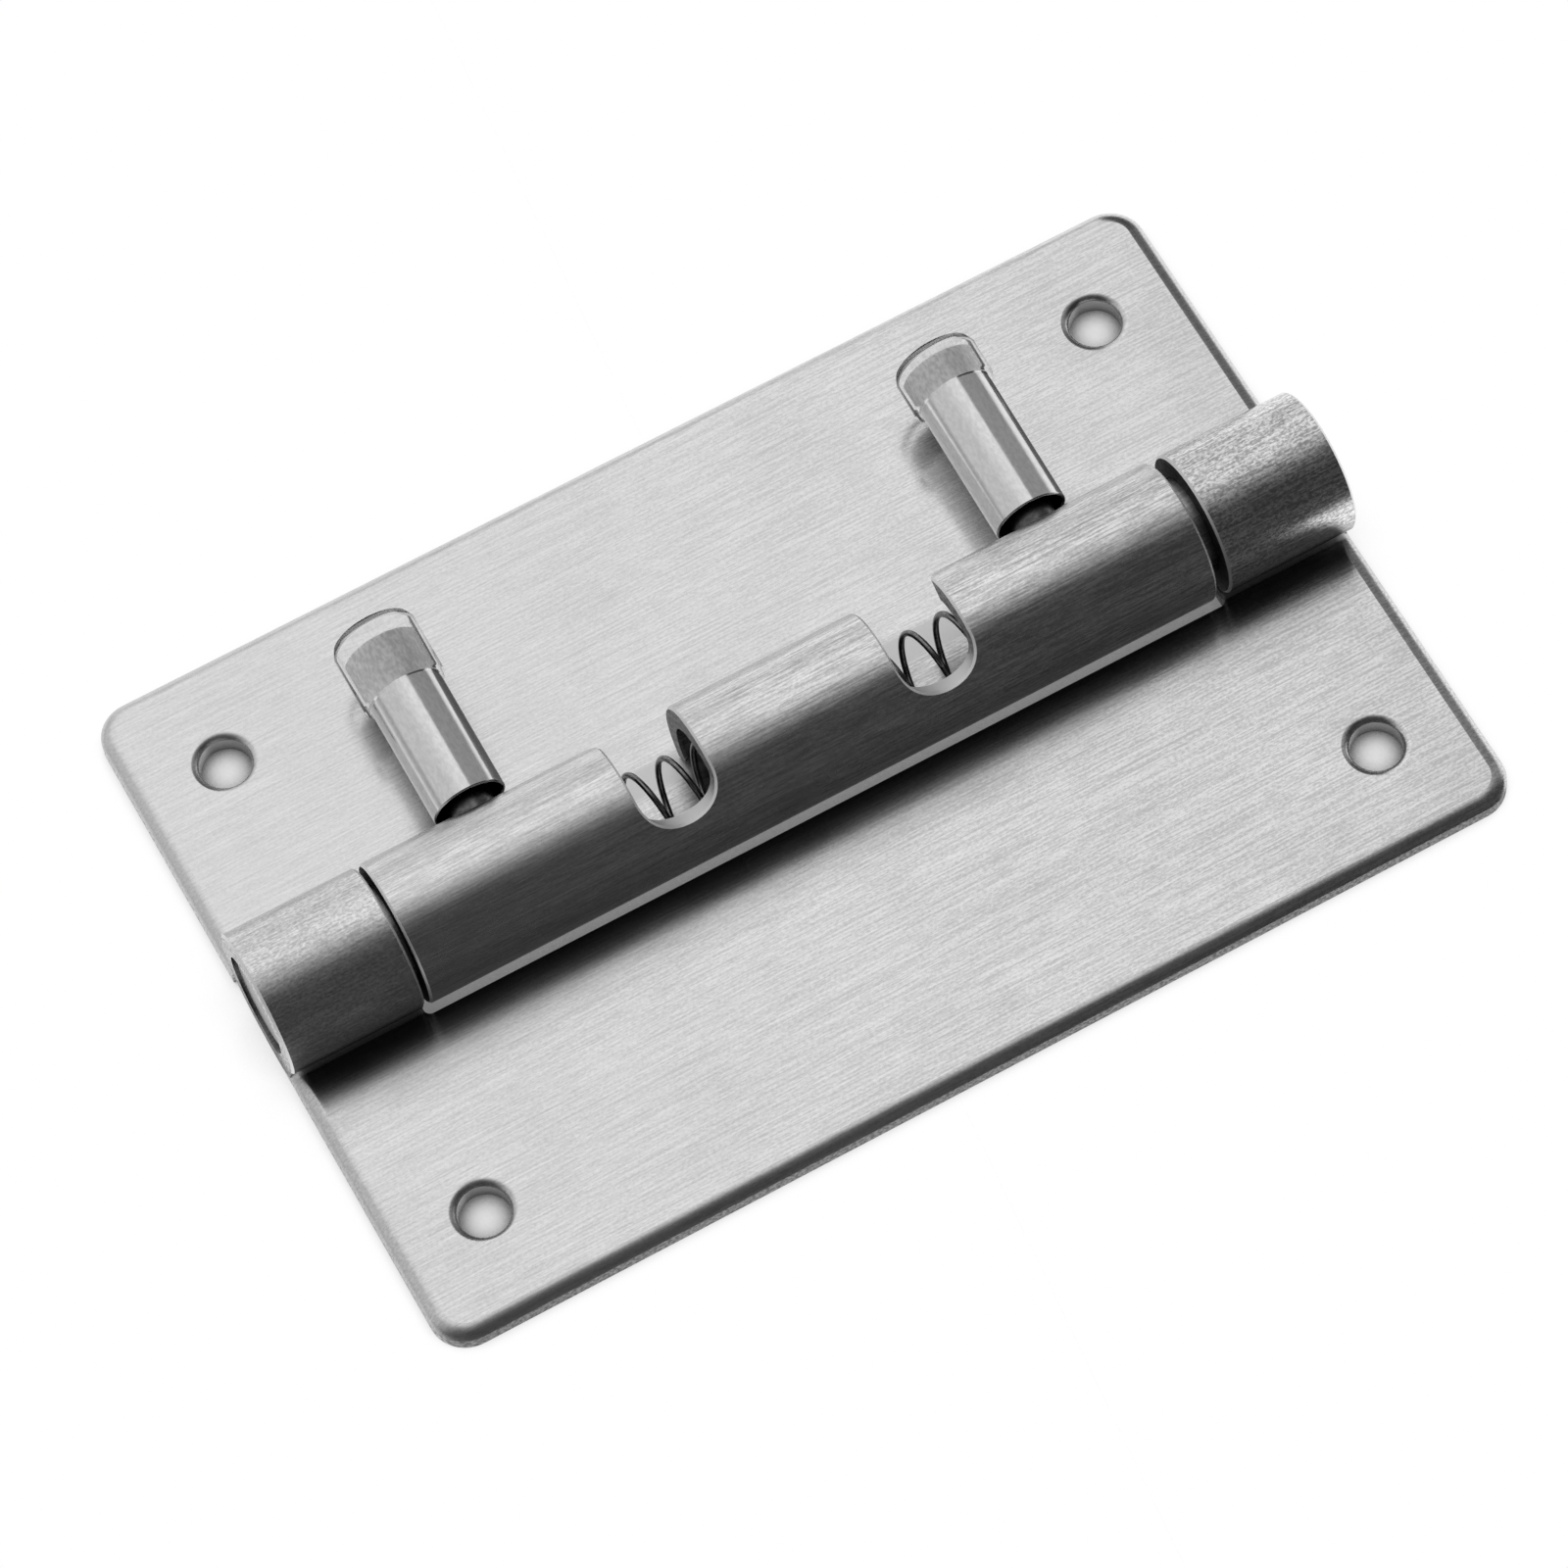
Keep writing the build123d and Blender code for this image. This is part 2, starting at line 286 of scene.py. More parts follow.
# %% [markdown]
# ## A dark card
# Photographers of metal stand a dark card just outside the picture, so that a curved side shows
# the card and not the white paper. This one stands in front of the hinge and darkens the foot of
# the barrel. Only reflections see it: it casts no shadow, and the camera looks through it.
# A grid of half side 0.5 is 1 by 1, so scaling it gives the card its real size.

# %% Dark card
CARD_Y = -36 * MM
CARD_LENGTH = 300 * MM
CARD_HEIGHT = 14 * MM
CARD_BLACK = (0.06, 0.06, 0.06, 1.0)
GRID_HALF_SIDE = 0.5

card_mesh = bpy.data.meshes.new("dark_card")
sheet = bmesh.new()
bmesh.ops.create_grid(sheet, x_segments=1, y_segments=1, size=GRID_HALF_SIDE)
bmesh.ops.scale(sheet, vec=(CARD_LENGTH, CARD_HEIGHT, 1), verts=sheet.verts)
bmesh.ops.rotate(sheet, matrix=Matrix.Rotation(math.radians(90), 3, "X"), verts=sheet.verts)
bmesh.ops.translate(sheet, vec=(0, CARD_Y, CARD_HEIGHT / 2), verts=sheet.verts)
sheet.to_mesh(card_mesh)
sheet.free()
card = bpy.data.objects.new("dark_card", card_mesh)
bpy.context.scene.collection.objects.link(card)
card.visible_camera = False
card.visible_diffuse = False
card.visible_shadow = False
card.visible_transmission = False

felt = bpy.data.materials.new("dark_felt")
felt.use_nodes = True
tree = felt.node_tree
tree.nodes.clear()
dim = add_node(tree, "ShaderNodeEmission", {"Color": CARD_BLACK, "Strength": 1.0})
add_node(tree, "ShaderNodeOutputMaterial", {"Surface": dim.outputs[0]})
card_mesh.materials.append(felt)
print("card stands at y in mm:", CARD_Y / MM)

# %% [markdown]
# ## Brushed grain
# Stainless sheet is brushed with a belt. The belt leaves long faint streaks, short scratches a
# millimetre or two long, and small pits between them. Noise that is stretched in one direction
# looks like scratches, and unstretched noise looks like pits. The group adds the three layers, each
# with its own fineness and share, and gives a height for the bump and the colour, and soft clouds
# for the roughness. A height of 0 is the middle, so shares can be changed without a change of tone,
# and one depth makes all three layers fainter or stronger together.

# %% Grain group
# each layer's squeeze along the grain, and its noise detail
GRAIN_LAYERS = {"Streaks": (0.012, 3.0), "Scratches": (0.07, 2.0), "Pits": (0.6, 1.0)}
GRAIN_NOISE_ROUGHNESS = 0.6
NOISE_MIDDLE = 0.5
CLOUDS_PER_MM = 0.12
CLOUDS_DETAIL = 3.0
CLOUDS_NOISE_ROUGHNESS = 0.5


def number_socket(tree, name, side):
    return tree.interface.new_socket(name, in_out=side, socket_type="NodeSocketFloat")


def build_grain_group():
    tree = bpy.data.node_groups.new("brushed_grain", "ShaderNodeTree")
    tree.interface.new_socket("Vector", in_out="INPUT", socket_type="NodeSocketVector")
    for layer in GRAIN_LAYERS:
        for value in ("per mm", "share"):
            number_socket(tree, f"{layer} {value}", "INPUT")
    number_socket(tree, "Depth", "INPUT").default_value = 1.0
    for name in ("Height", "Clouds"):
        number_socket(tree, name, "OUTPUT")
    entry = tree.nodes.new("NodeGroupInput").outputs
    height = 0.0
    for layer, (squeeze, detail) in GRAIN_LAYERS.items():
        squeezed = {"Vector": entry["Vector"], "Scale": (squeeze, 1.0, 1.0)}
        place = add_node(tree, "ShaderNodeMapping", squeezed).outputs[0]
        per_metre = math_node(tree, "MULTIPLY", entry[f"{layer} per mm"], 1 / MM)
        noise = {"Vector": place, "Scale": per_metre, "Detail": detail, "Roughness": GRAIN_NOISE_ROUGHNESS}
        marks = add_node(tree, "ShaderNodeTexNoise", noise).outputs["Fac"]
        marks = math_node(tree, "SUBTRACT", marks, NOISE_MIDDLE)
        share = math_node(tree, "MULTIPLY", marks, entry[f"{layer} share"])
        height = math_node(tree, "ADD", share, height)
    clouds = {
        "Vector": entry["Vector"],
        "Scale": CLOUDS_PER_MM / MM,
        "Detail": CLOUDS_DETAIL,
        "Roughness": CLOUDS_NOISE_ROUGHNESS,
    }
    cloud_noise = add_node(tree, "ShaderNodeTexNoise", clouds).outputs["Fac"]
    leave = tree.nodes.new("NodeGroupOutput").inputs
    tree.links.new(math_node(tree, "MULTIPLY", height, entry["Depth"]), leave["Height"])
    tree.links.new(cloud_noise, leave["Clouds"])
    return tree


GRAIN = build_grain_group()
print("grain outputs:", [item.name for item in GRAIN.interface.items_tree if item.in_out == "OUTPUT"])

# %% [markdown]
# ## Steel finishes
# One function makes each steel from its own values. The grain runs along X unless it is turned, and
# the gloss is stretched across it, as on real brushed metal: that is what the anisotropy is for.
# The dent is the depth of the bump in millimetres, and the contrast is how far the colour follows
# the grain.

# %% Steel function
# each layer's fineness per mm, and its share
BRUSHED = {"Streaks": (5.0, 0.4), "Scratches": (5.5, 0.35), "Pits": (5.0, 0.3)}
POLISHED = {"Streaks": (5.0, 0.1), "Scratches": (6.0, 0.2), "Pits": (3.0, 0.7)}
GRAIN_SPREAD = 0.15
CLOUDS_SPAN = (0.3, 0.7)
CLOUDS_SMOOTHER = 0.9
CLOUDS_ROUGHER = 1.1
TANGENT_LIFT = 0.01
QUARTER_TURN = 0.25


def grey(level):
    return (level, level, level, 1.0)


def steel(name, colour, roughness, stretch, grain=BRUSHED, grain_turn=0.0, dent=0.004, contrast=0.25):
    material = bpy.data.materials.new(name)
    material.use_nodes = True
    tree = material.node_tree
    surface = tree.nodes["Principled BSDF"]
    place = add_node(tree, "ShaderNodeTexCoord").outputs["Object"]
    turned = add_node(tree, "ShaderNodeMapping", {"Vector": place, "Rotation": (0, 0, grain_turn)})
    marks = add_node(tree, "ShaderNodeGroup", node_tree=GRAIN, name="grain")
    tree.links.new(turned.outputs[0], marks.inputs["Vector"])
    for layer, (per_mm, share) in grain.items():
        marks.inputs[f"{layer} per mm"].default_value = per_mm
        marks.inputs[f"{layer} share"].default_value = share
    dark = colour * (1 - contrast)
    light = min(1.0, colour * (1 + contrast))
    shade = smooth_step(tree, marks.outputs["Height"], -GRAIN_SPREAD, GRAIN_SPREAD, dark, light)
    smoothest = roughness * CLOUDS_SMOOTHER
    roughest = roughness * CLOUDS_ROUGHER
    worn = smooth_step(tree, marks.outputs["Clouds"], *CLOUDS_SPAN, smoothest, roughest)
    tree.links.new(shade, surface.inputs["Base Color"])
    tree.links.new(worn, surface.inputs["Roughness"])
    bump_inputs = {"Strength": 1.0, "Distance": dent * MM, "Height": marks.outputs["Height"]}
    bump = add_node(tree, "ShaderNodeBump", bump_inputs, name="bump")
    tree.links.new(bump.outputs[0], surface.inputs["Normal"])
    surface.inputs["Metallic"].default_value = 1.0
    surface.inputs["Anisotropic"].default_value = stretch
    along = {"X": math.cos(grain_turn), "Y": -math.sin(grain_turn), "Z": TANGENT_LIFT}
    tangent = add_node(tree, "ShaderNodeCombineXYZ", along)
    tree.links.new(tangent.outputs[0], surface.inputs["Tangent"])
    surface.inputs["Anisotropic Rotation"].default_value = QUARTER_TURN
    return material


print("grain layers:", list(GRAIN_LAYERS))

# %% [markdown]
# ## Changing a finish in places
# Two helpers change what a socket already gets: one blends another value into it by a mask, and
# one multiplies it. The third paints shade into a steel's colour where something lies close over
# it, as beside the levers and in the gaps, and can spare a part of the surface.


# %% Finish helpers
def blend_into(tree, socket, other, mask):
    before = socket.links[0].from_socket
    tree.links.new(mix_values(tree, mask, before, other), socket)


def multiply_into(tree, socket, factor):
    before = socket.links[0].from_socket
    tree.links.new(math_node(tree, "MULTIPLY", before, factor), socket)


def paint_shade_by_closeness(material, reach, closed, open_enough, darkest, spared=0.0):
    tree = material.node_tree
    # painted shade: the colour is darkened where other surfaces lie close over it
    openness = openness_node(tree, {"Distance": reach * MM})
    painted_shade_factor = smooth_step(tree, openness, closed, open_enough, darkest, 1.0)
    painted_shade_factor = mix_values(tree, spared, painted_shade_factor, 1.0)
    multiply_into(tree, tree.nodes["Principled BSDF"].inputs["Base Color"], painted_shade_factor)


print("finish helpers:", blend_into.__name__, multiply_into.__name__, paint_shade_by_closeness.__name__)

# %% [markdown]
# ## The small parts' steels
# The bolts are turned, the studs are painted dark as the shade inside the sleeves' mouths, the wire
# is dark, and the sleeves are polished lengthwise, which is along Y, so their grain is turned. Under
# its cap a sleeve is duller, and painted paler as the light that the cap spreads over it. A painted
# shade darkens each sleeve where surfaces lie close over it, as inside its mouth.

# %% Bolt, stud, sleeve and wire steels
LENGTHWISE = math.radians(90)
SLEEVE_PAINTED_SHADE = {"reach": 3.0, "closed": 0.15, "open_enough": 0.6, "darkest": 0.05}

BOLT_STEEL = steel("turned_bolt_steel", colour=0.35, roughness=0.30, stretch=0.2)
# painted shade: the stud's dark colour stands for the shade inside the sleeve's mouth
PAINTED_SHADE_STUD_STEEL = steel("stud_steel_painted_shade", colour=0.14, roughness=0.30, stretch=0.0, grain=POLISHED)
LEVER_STEEL = steel(
    "polished_lever_steel",
    colour=0.72,
    roughness=0.14,
    stretch=0.3,
    grain=POLISHED,
    grain_turn=LENGTHWISE,
    dent=0.002,
    contrast=0.06,
)
# painted light: under the cap the sleeve's colour is paler, for the light the cap spreads over it
PAINTED_LIGHT_SLEEVE_STEEL = steel(
    "lever_steel_under_cap_painted_light",
    colour=0.9,
    roughness=0.7,
    stretch=0.0,
    grain=POLISHED,
    grain_turn=LENGTHWISE,
    dent=0.002,
    contrast=0.1,
)
WIRE_STEEL = steel("dark_spring_wire", colour=0.22, roughness=0.22, stretch=0.0, dent=0.0005)
# painted shade: darkens the sleeve where surfaces lie close over it, as inside its mouth
paint_shade_by_closeness(LEVER_STEEL, **SLEEVE_PAINTED_SHADE)
print("steels:", [m.name for m in (BOLT_STEEL, PAINTED_SHADE_STUD_STEEL, LEVER_STEEL, PAINTED_LIGHT_SLEEVE_STEEL, WIRE_STEEL)])

# %% [markdown]
# ## The leaves' surfaces, told apart by shape
# A stamped and rolled leaf has several kinds of surface, and the material finds each by shape
# alone. Near the hinge's axis it is barrel, and beyond that it is plate. The sheet's own skin
# points away from the axis on the barrel, and up or down on the plate. Where the surface turns
# away from that, it is a cut wall. Between the two the skin's direction is a blend, and the plate's
# is taken as down, because there the barrel's own skin points down as well and the two don't
# cancel out.

# %% Leaf masks
BARREL_REACH = 6.7 * MM
PLATE_REACH = 7.3 * MM
PLATE_SKIN = (0.0, 0.0, -1.0)
WALL_TURN = 0.25
SKIN_TURN = 0.4


def leaf_masks(tree):
    coordinates = add_node(tree, "ShaderNodeTexCoord").outputs
    place = add_node(tree, "ShaderNodeSeparateXYZ", {0: coordinates["Object"]}).outputs
    above = math_node(tree, "SUBTRACT", place["Z"], AXIS_HEIGHT)
    spoke = add_node(tree, "ShaderNodeCombineXYZ", {"X": 0.0, "Y": place["Y"], "Z": above}).outputs[0]
    distance = vector_node(tree, "LENGTH", {0: spoke}, "Value")
    plate = smooth_step(tree, distance, BARREL_REACH, PLATE_REACH)
    outwards = vector_node(tree, "NORMALIZE", {0: spoke}, "Vector")
    skin = add_node(tree, "ShaderNodeMix", {0: plate, 4: outwards, 5: PLATE_SKIN}, data_type="VECTOR")
    facing = vector_node(tree, "DOT_PRODUCT", {0: coordinates["Normal"], 1: skin.outputs[1]}, "Value")
    facing = math_node(tree, "ABSOLUTE", facing)
    return {
        "object": coordinates["Object"],
        "normal": coordinates["Normal"],
        "upward": add_node(tree, "ShaderNodeSeparateXYZ", {0: coordinates["Normal"]}).outputs["Z"],
        "x": place["X"],
        "from_middle_x": math_node(tree, "ABSOLUTE", place["X"]),
        "from_middle_y": math_node(tree, "ABSOLUTE", place["Y"]),
        "plate": plate,
        "barrel": math_node(tree, "SUBTRACT", 1.0, plate),
        "facing": facing,
        "wall": smooth_step(tree, facing, WALL_TURN, SKIN_TURN, 1.0, 0.0),
    }


print("barrel ends and plate starts, in mm from the axis:", BARREL_REACH / MM, PLATE_REACH / MM)

# %% [markdown]
# ## Grain of the leaves
# The barrel was squeezed in a die after brushing, which roughens the skin like orange peel and
# dulls it. So it has its own shares of the three layers, and its own dent, contrast and roughness.
# On the whole leaf the grain grows from faint at the left to deep at the right.

# %% Leaf grain
ROLLED_ROUGHER = 1.35
ROLLED_CONTRAST = 1.2
FAINT_AT_X = -40.0 * MM
DEEP_AT_X = 45.0 * MM
FAINT_DEPTH = 0.7
DEEP_DEPTH = 1.5


def left_to_right(tree, masks, at_left, at_right):
    return smooth_step(tree, masks["x"], FAINT_AT_X, DEEP_AT_X, at_left, at_right)


def press_grain(tree, masks, dent, rolled_grain, rolled_dent):
    surface = tree.nodes["Principled BSDF"].inputs
    marks = tree.nodes["grain"]
    barrel = masks["barrel"]
    for layer, rolled_share in rolled_grain.items():
        share = marks.inputs[f"{layer} share"]
        tree.links.new(mix_values(tree, barrel, share.default_value, rolled_share), share)
    bump_distance = mix_values(tree, barrel, dent * MM, rolled_dent * MM)
    tree.links.new(bump_distance, tree.nodes["bump"].inputs["Distance"])
    tree.links.new(left_to_right(tree, masks, FAINT_DEPTH, DEEP_DEPTH), marks.inputs["Depth"])
    contrast = math_node(tree, "MULTIPLY", marks.outputs["Height"], ROLLED_CONTRAST)
    streaked = math_node(tree, "ADD", 1.0, contrast)
    multiply_into(tree, surface["Base Color"], mix_values(tree, barrel, 1.0, streaked))
    multiply_into(tree, surface["Roughness"], mix_values(tree, barrel, 1.0, ROLLED_ROUGHER))


print("grain depth, left and right:", FAINT_DEPTH, DEEP_DEPTH)

# %% [markdown]
# ## Cut walls of the leaves
# A sheared edge is torn, dull and grey. It is mottled, and painted paler on the two ends of the
# hinge, as painted light. In the barrel's openings, the walls that face up are painted paler as
# painted light too.

# %% Leaf walls
WALL_COLOUR = 0.42
WALL_ROUGHNESS = 0.62
SPOTS_PER_MM = 3.0
SPOTS_DETAIL = 3.0
SPOTS_SPAN = (0.35, 0.65)
SPOTS_LEVELS = (0.6, 1.4)
END_PAINTED_LIGHT_COLOUR = 0.75
END_PLACE = 49.0 * MM
PAINTED_LIGHT_WALL_COLOUR = 0.85
PAINTED_LIGHT_WALL_TURN = (0.15, 0.6)


def tear_walls(tree, masks):
    surface = tree.nodes["Principled BSDF"].inputs
    mottle = {"Vector": masks["object"], "Scale": SPOTS_PER_MM / MM, "Detail": SPOTS_DETAIL}
    spots = add_node(tree, "ShaderNodeTexNoise", mottle).outputs["Fac"]
    spots = smooth_step(tree, spots, *SPOTS_SPAN, *SPOTS_LEVELS)
    # painted light: the cut walls on the hinge's two ends get a paler colour
    painted_light_at_end = smooth_step(tree, masks["from_middle_x"], END_PLACE, END_PLACE + MM)
    wall_colour_with_painted_ends = mix_values(tree, painted_light_at_end, WALL_COLOUR, END_PAINTED_LIGHT_COLOUR)
    torn = math_node(tree, "MULTIPLY", spots, wall_colour_with_painted_ends, clamp=True)
    blend_into(tree, surface["Base Color"], torn, masks["wall"])
    blend_into(tree, surface["Roughness"], WALL_ROUGHNESS, masks["wall"])


def paint_light_on_upward_walls(tree, masks):
    surface = tree.nodes["Principled BSDF"].inputs
    # painted light: barrel walls that face up get a paler colour
    upward = smooth_step(tree, masks["upward"], *PAINTED_LIGHT_WALL_TURN)
    barrel_wall = math_node(tree, "MULTIPLY", masks["wall"], masks["barrel"])
    painted_lit_walls = math_node(tree, "MULTIPLY", upward, barrel_wall)
    blend_into(tree, surface["Base Color"], PAINTED_LIGHT_WALL_COLOUR, painted_lit_walls)


print("wall colour and roughness:", WALL_COLOUR, WALL_ROUGHNESS)

# %% [markdown]
# ## Edges and screw holes of the leaves
# The plates' upper edges are rounded over and a little rougher than the faces. The walls of the
# screw holes are smoother than the other cut walls, with a painted highlight on the left of each
# hole. The barrel's small chamfers are painted pale, as a painted highlight.
# A rounded edge and a chamfer are both found the same way: the surface has turned out of the wall
# but has not yet reached the face.

# %% Leaf edges and holes
ROUNDED_FROM_WALL = (0.3, 0.5)
ROUNDED_TO_FACE = (0.93, 0.98)
ROUNDED_ROUGHNESS = (0.36, 0.26)
HOLE_X = 41.75 * MM
HOLE_Y = 23.5 * MM
HOLE_RADIUS = 2.4 * MM
HOLE_FADE = 1.1
HOLE_WALL_COLOUR = 0.45
HOLE_WALL_ROUGHNESS = 0.35
HOLE_PAINTED_HIGHLIGHT_SIDE = (0.9, -0.44, 0.0)
HOLE_PAINTED_HIGHLIGHT_TURN = (0.5, 0.95)
CHAMFER_FROM_WALL = (0.5, 0.6)
CHAMFER_TO_SKIN = (0.8, 0.9)
CHAMFER_HIGHLIGHT_COLOUR = 0.95
CHAMFER_ROUGHNESS = 0.5


def between(tree, turn, from_span, to_span):
    left_wall = smooth_step(tree, turn, *from_span)
    return math_node(tree, "MULTIPLY", left_wall, smooth_step(tree, turn, *to_span, 1.0, 0.0))


def dull_rounded_edges(tree, masks):
    surface = tree.nodes["Principled BSDF"].inputs
    rounded = between(tree, masks["upward"], ROUNDED_FROM_WALL, ROUNDED_TO_FACE)
    rounded = math_node(tree, "MULTIPLY", rounded, masks["plate"])
    blend_into(tree, surface["Roughness"], left_to_right(tree, masks, *ROUNDED_ROUGHNESS), rounded)


def line_screw_holes(tree, masks):
    surface = tree.nodes["Principled BSDF"].inputs
    from_hole_x = math_node(tree, "SUBTRACT", masks["from_middle_x"], HOLE_X)
    from_hole_y = math_node(tree, "SUBTRACT", masks["from_middle_y"], HOLE_Y)
    spoke = {"X": from_hole_x, "Y": from_hole_y, "Z": 0.0}
    spoke = add_node(tree, "ShaderNodeCombineXYZ", spoke).outputs[0]
    from_hole = vector_node(tree, "LENGTH", {0: spoke}, "Value")
    in_hole = smooth_step(tree, from_hole, HOLE_RADIUS, HOLE_RADIUS * HOLE_FADE, 1.0, 0.0)
    in_hole = math_node(tree, "MULTIPLY", in_hole, masks["wall"])
    # painted highlight: the hole's wall is paler on its left side
    turn = vector_node(tree, "DOT_PRODUCT", {0: masks["normal"], 1: HOLE_PAINTED_HIGHLIGHT_SIDE}, "Value")
    hole_colour_with_highlight = smooth_step(tree, turn, *HOLE_PAINTED_HIGHLIGHT_TURN, HOLE_WALL_COLOUR, 1.0)
    blend_into(tree, surface["Base Color"], hole_colour_with_highlight, in_hole)
    blend_into(tree, surface["Roughness"], HOLE_WALL_ROUGHNESS, in_hole)


def paint_chamfer_highlights(tree, masks):
    surface = tree.nodes["Principled BSDF"].inputs
    chamfer = between(tree, masks["facing"], CHAMFER_FROM_WALL, CHAMFER_TO_SKIN)
    chamfer = math_node(tree, "MULTIPLY", chamfer, masks["barrel"])
    # painted highlight: the chamfers' pale colour
    blend_into(tree, surface["Base Color"], CHAMFER_HIGHLIGHT_COLOUR, chamfer)
    blend_into(tree, surface["Roughness"], CHAMFER_ROUGHNESS, chamfer)


print("screw holes at x and y in mm:", round(HOLE_X / MM, 2), round(HOLE_Y / MM, 2))

# %% [markdown]
# ## The two leaf materials
# The order matters. The painted closeness shade comes after the grain and the torn walls, which it
# darkens, and before the painted light on upward walls, the hole walls with their painted highlight
# and the chamfers' painted highlight, which keep their own tone. It mostly spares the plates' cut
# walls. The light comes from behind, so the front leaf lies on the barrel's dark side, and its
# painted shade reaches further.

# %% Leaf materials
LEAF_COLOUR = 0.70
LEAF_ROUGHNESS = 0.21
LEAF_STRETCH = 0.3
BARREL_GRAIN = {"Streaks": 0.35, "Scratches": 0.5, "Pits": 0.25}
KNUCKLE_GRAIN = {"Streaks": 0.2, "Scratches": 0.45, "Pits": 0.5}
REAR_PAINTED_SHADE = {"reach": 5.5, "closed": 0.38, "open_enough": 0.66, "darkest": 0.22}
FRONT_PAINTED_SHADE = {"reach": 10.0, "closed": 0.58, "open_enough": 0.85, "darkest": 0.28}
PLATE_WALL_SPARED = 0.75


def leaf_steel(name, contrast, dent, rolled_grain, rolled_dent, shade):
    material = steel(name, LEAF_COLOUR, LEAF_ROUGHNESS, LEAF_STRETCH, dent=dent, contrast=contrast)
    tree = material.node_tree
    masks = leaf_masks(tree)
    press_grain(tree, masks, dent, rolled_grain, rolled_dent)
    tear_walls(tree, masks)
    plate_wall = math_node(tree, "MULTIPLY", masks["wall"], masks["plate"])
    spared = math_node(tree, "MULTIPLY", plate_wall, PLATE_WALL_SPARED)
    # painted shade: darkens the leaf's colour beside the levers, the barrel and in the gaps
    paint_shade_by_closeness(material, spared=spared, **shade)
    dull_rounded_edges(tree, masks)
    paint_light_on_upward_walls(tree, masks)
    line_screw_holes(tree, masks)
    paint_chamfer_highlights(tree, masks)
    return material


FRONT_STEEL = leaf_steel(
    "brushed_front_leaf",
    contrast=0.20,
    dent=0.003,
    rolled_grain=KNUCKLE_GRAIN,
    rolled_dent=0.010,
    shade=FRONT_PAINTED_SHADE,
)
REAR_STEEL = leaf_steel(
    "brushed_rear_leaf",
    contrast=0.14,
    dent=0.0025,
    rolled_grain=BARREL_GRAIN,
    rolled_dent=0.009,
    shade=REAR_PAINTED_SHADE,
)
print("leaf materials:", FRONT_STEEL.name, REAR_STEEL.name)

# %% [markdown]
# ## Clear plastic
# The caps are thin sleeves of soft clear plastic. A real plastic bends light more than this one,
# with an index of refraction near 1.5. The low index here lets the thin wall hardly bend what lies
# behind it, and a raised specular level gives back some of the mirror that the low index loses.

# %% Clear plastic material
PLASTIC_ROUGHNESS = 0.02
PLASTIC_INDEX = 1.06
PLASTIC_SPECULAR = 1.0

CLEAR_PLASTIC = bpy.data.materials.new("clear_cap_plastic")
CLEAR_PLASTIC.use_nodes = True
clear = CLEAR_PLASTIC.node_tree.nodes["Principled BSDF"]
clear.inputs["Base Color"].default_value = grey(1.0)
clear.inputs["Roughness"].default_value = PLASTIC_ROUGHNESS
clear.inputs["IOR"].default_value = PLASTIC_INDEX
clear.inputs["Specular IOR Level"].default_value = PLASTIC_SPECULAR
clear.inputs["Transmission Weight"].default_value = 1.0
print("cap plastic index of refraction:", PLASTIC_INDEX)

# %% [markdown]
# ## Dressing the solids that keep their shape
# The leaves and the bolts are right as they come, with their rolled edges and openings, so they
# only change their material.

# %% Leaves and bolts
for node, material in (
    ("front_leaf", FRONT_STEEL),
    ("rear_leaf", REAR_STEEL),
    ("right_bolt", BOLT_STEEL),
    ("left_bolt", BOLT_STEEL),
):
    for slot in NODES[node].material_slots:
        slot.material = material
    print(node, "faces:", len(NODES[node].data.polygons))

# %% [markdown]
# ## Finishing a mesh
# Each new piece is drawn first and then finished: it gets its material and smooth shading that
# stays sharp at real edges, and rides on the body that it moves with. The angle says how far two
# faces have to turn from each other to count as an edge.

# %% Mesh helper
SHARP_ANGLE = math.radians(40)
WIRE_SHARP_ANGLE = math.radians(50)
CAP_SHARP_ANGLE = math.radians(60)


def finish_mesh(shape, name, material, body, sharp_angle=SHARP_ANGLE):
    mesh = bpy.data.meshes.new(name)
    bmesh.ops.recalc_face_normals(shape, faces=shape.faces)
    shape.to_mesh(mesh)
    shape.free()
    mesh.materials.append(material)
    mesh.shade_smooth()
    mesh.set_sharp_from_angle(angle=sharp_angle)
    piece = bpy.data.objects.new(name, mesh)
    bpy.context.scene.collection.objects.link(piece)
    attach(piece, body)
    return piece


print("edges are sharp above degrees:", round(math.degrees(SHARP_ANGLE)))

# %% [markdown]
# ## The spring
# A round wire, wound right-handed with an open pitch. A small circle is spun about the barrel's
# axis while each step also moves it along: that makes a helix. Between the bolts the wire sags by
# about a third of a millimetre. The sag fades out towards the bolts, so that the wire clears their
# pockets at rest.

# %% Spring shape
WIRE_RADIUS = 0.27 * MM
COIL_RADIUS = 2.95 * MM
COIL_PITCH = 3.28 * MM
COIL_PHASE = 1.9 * MM
SPRING_SAG = 0.35 * MM
SAG_REACH = 15 * MM
SAG_POWER = 6
WIRE_SIDES = 14
STEPS_PER_TURN = 40

SPRING_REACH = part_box("bolt_spring")[1].x
SPRING_CENTRE = Vector((0, 0, AXIS_HEIGHT))


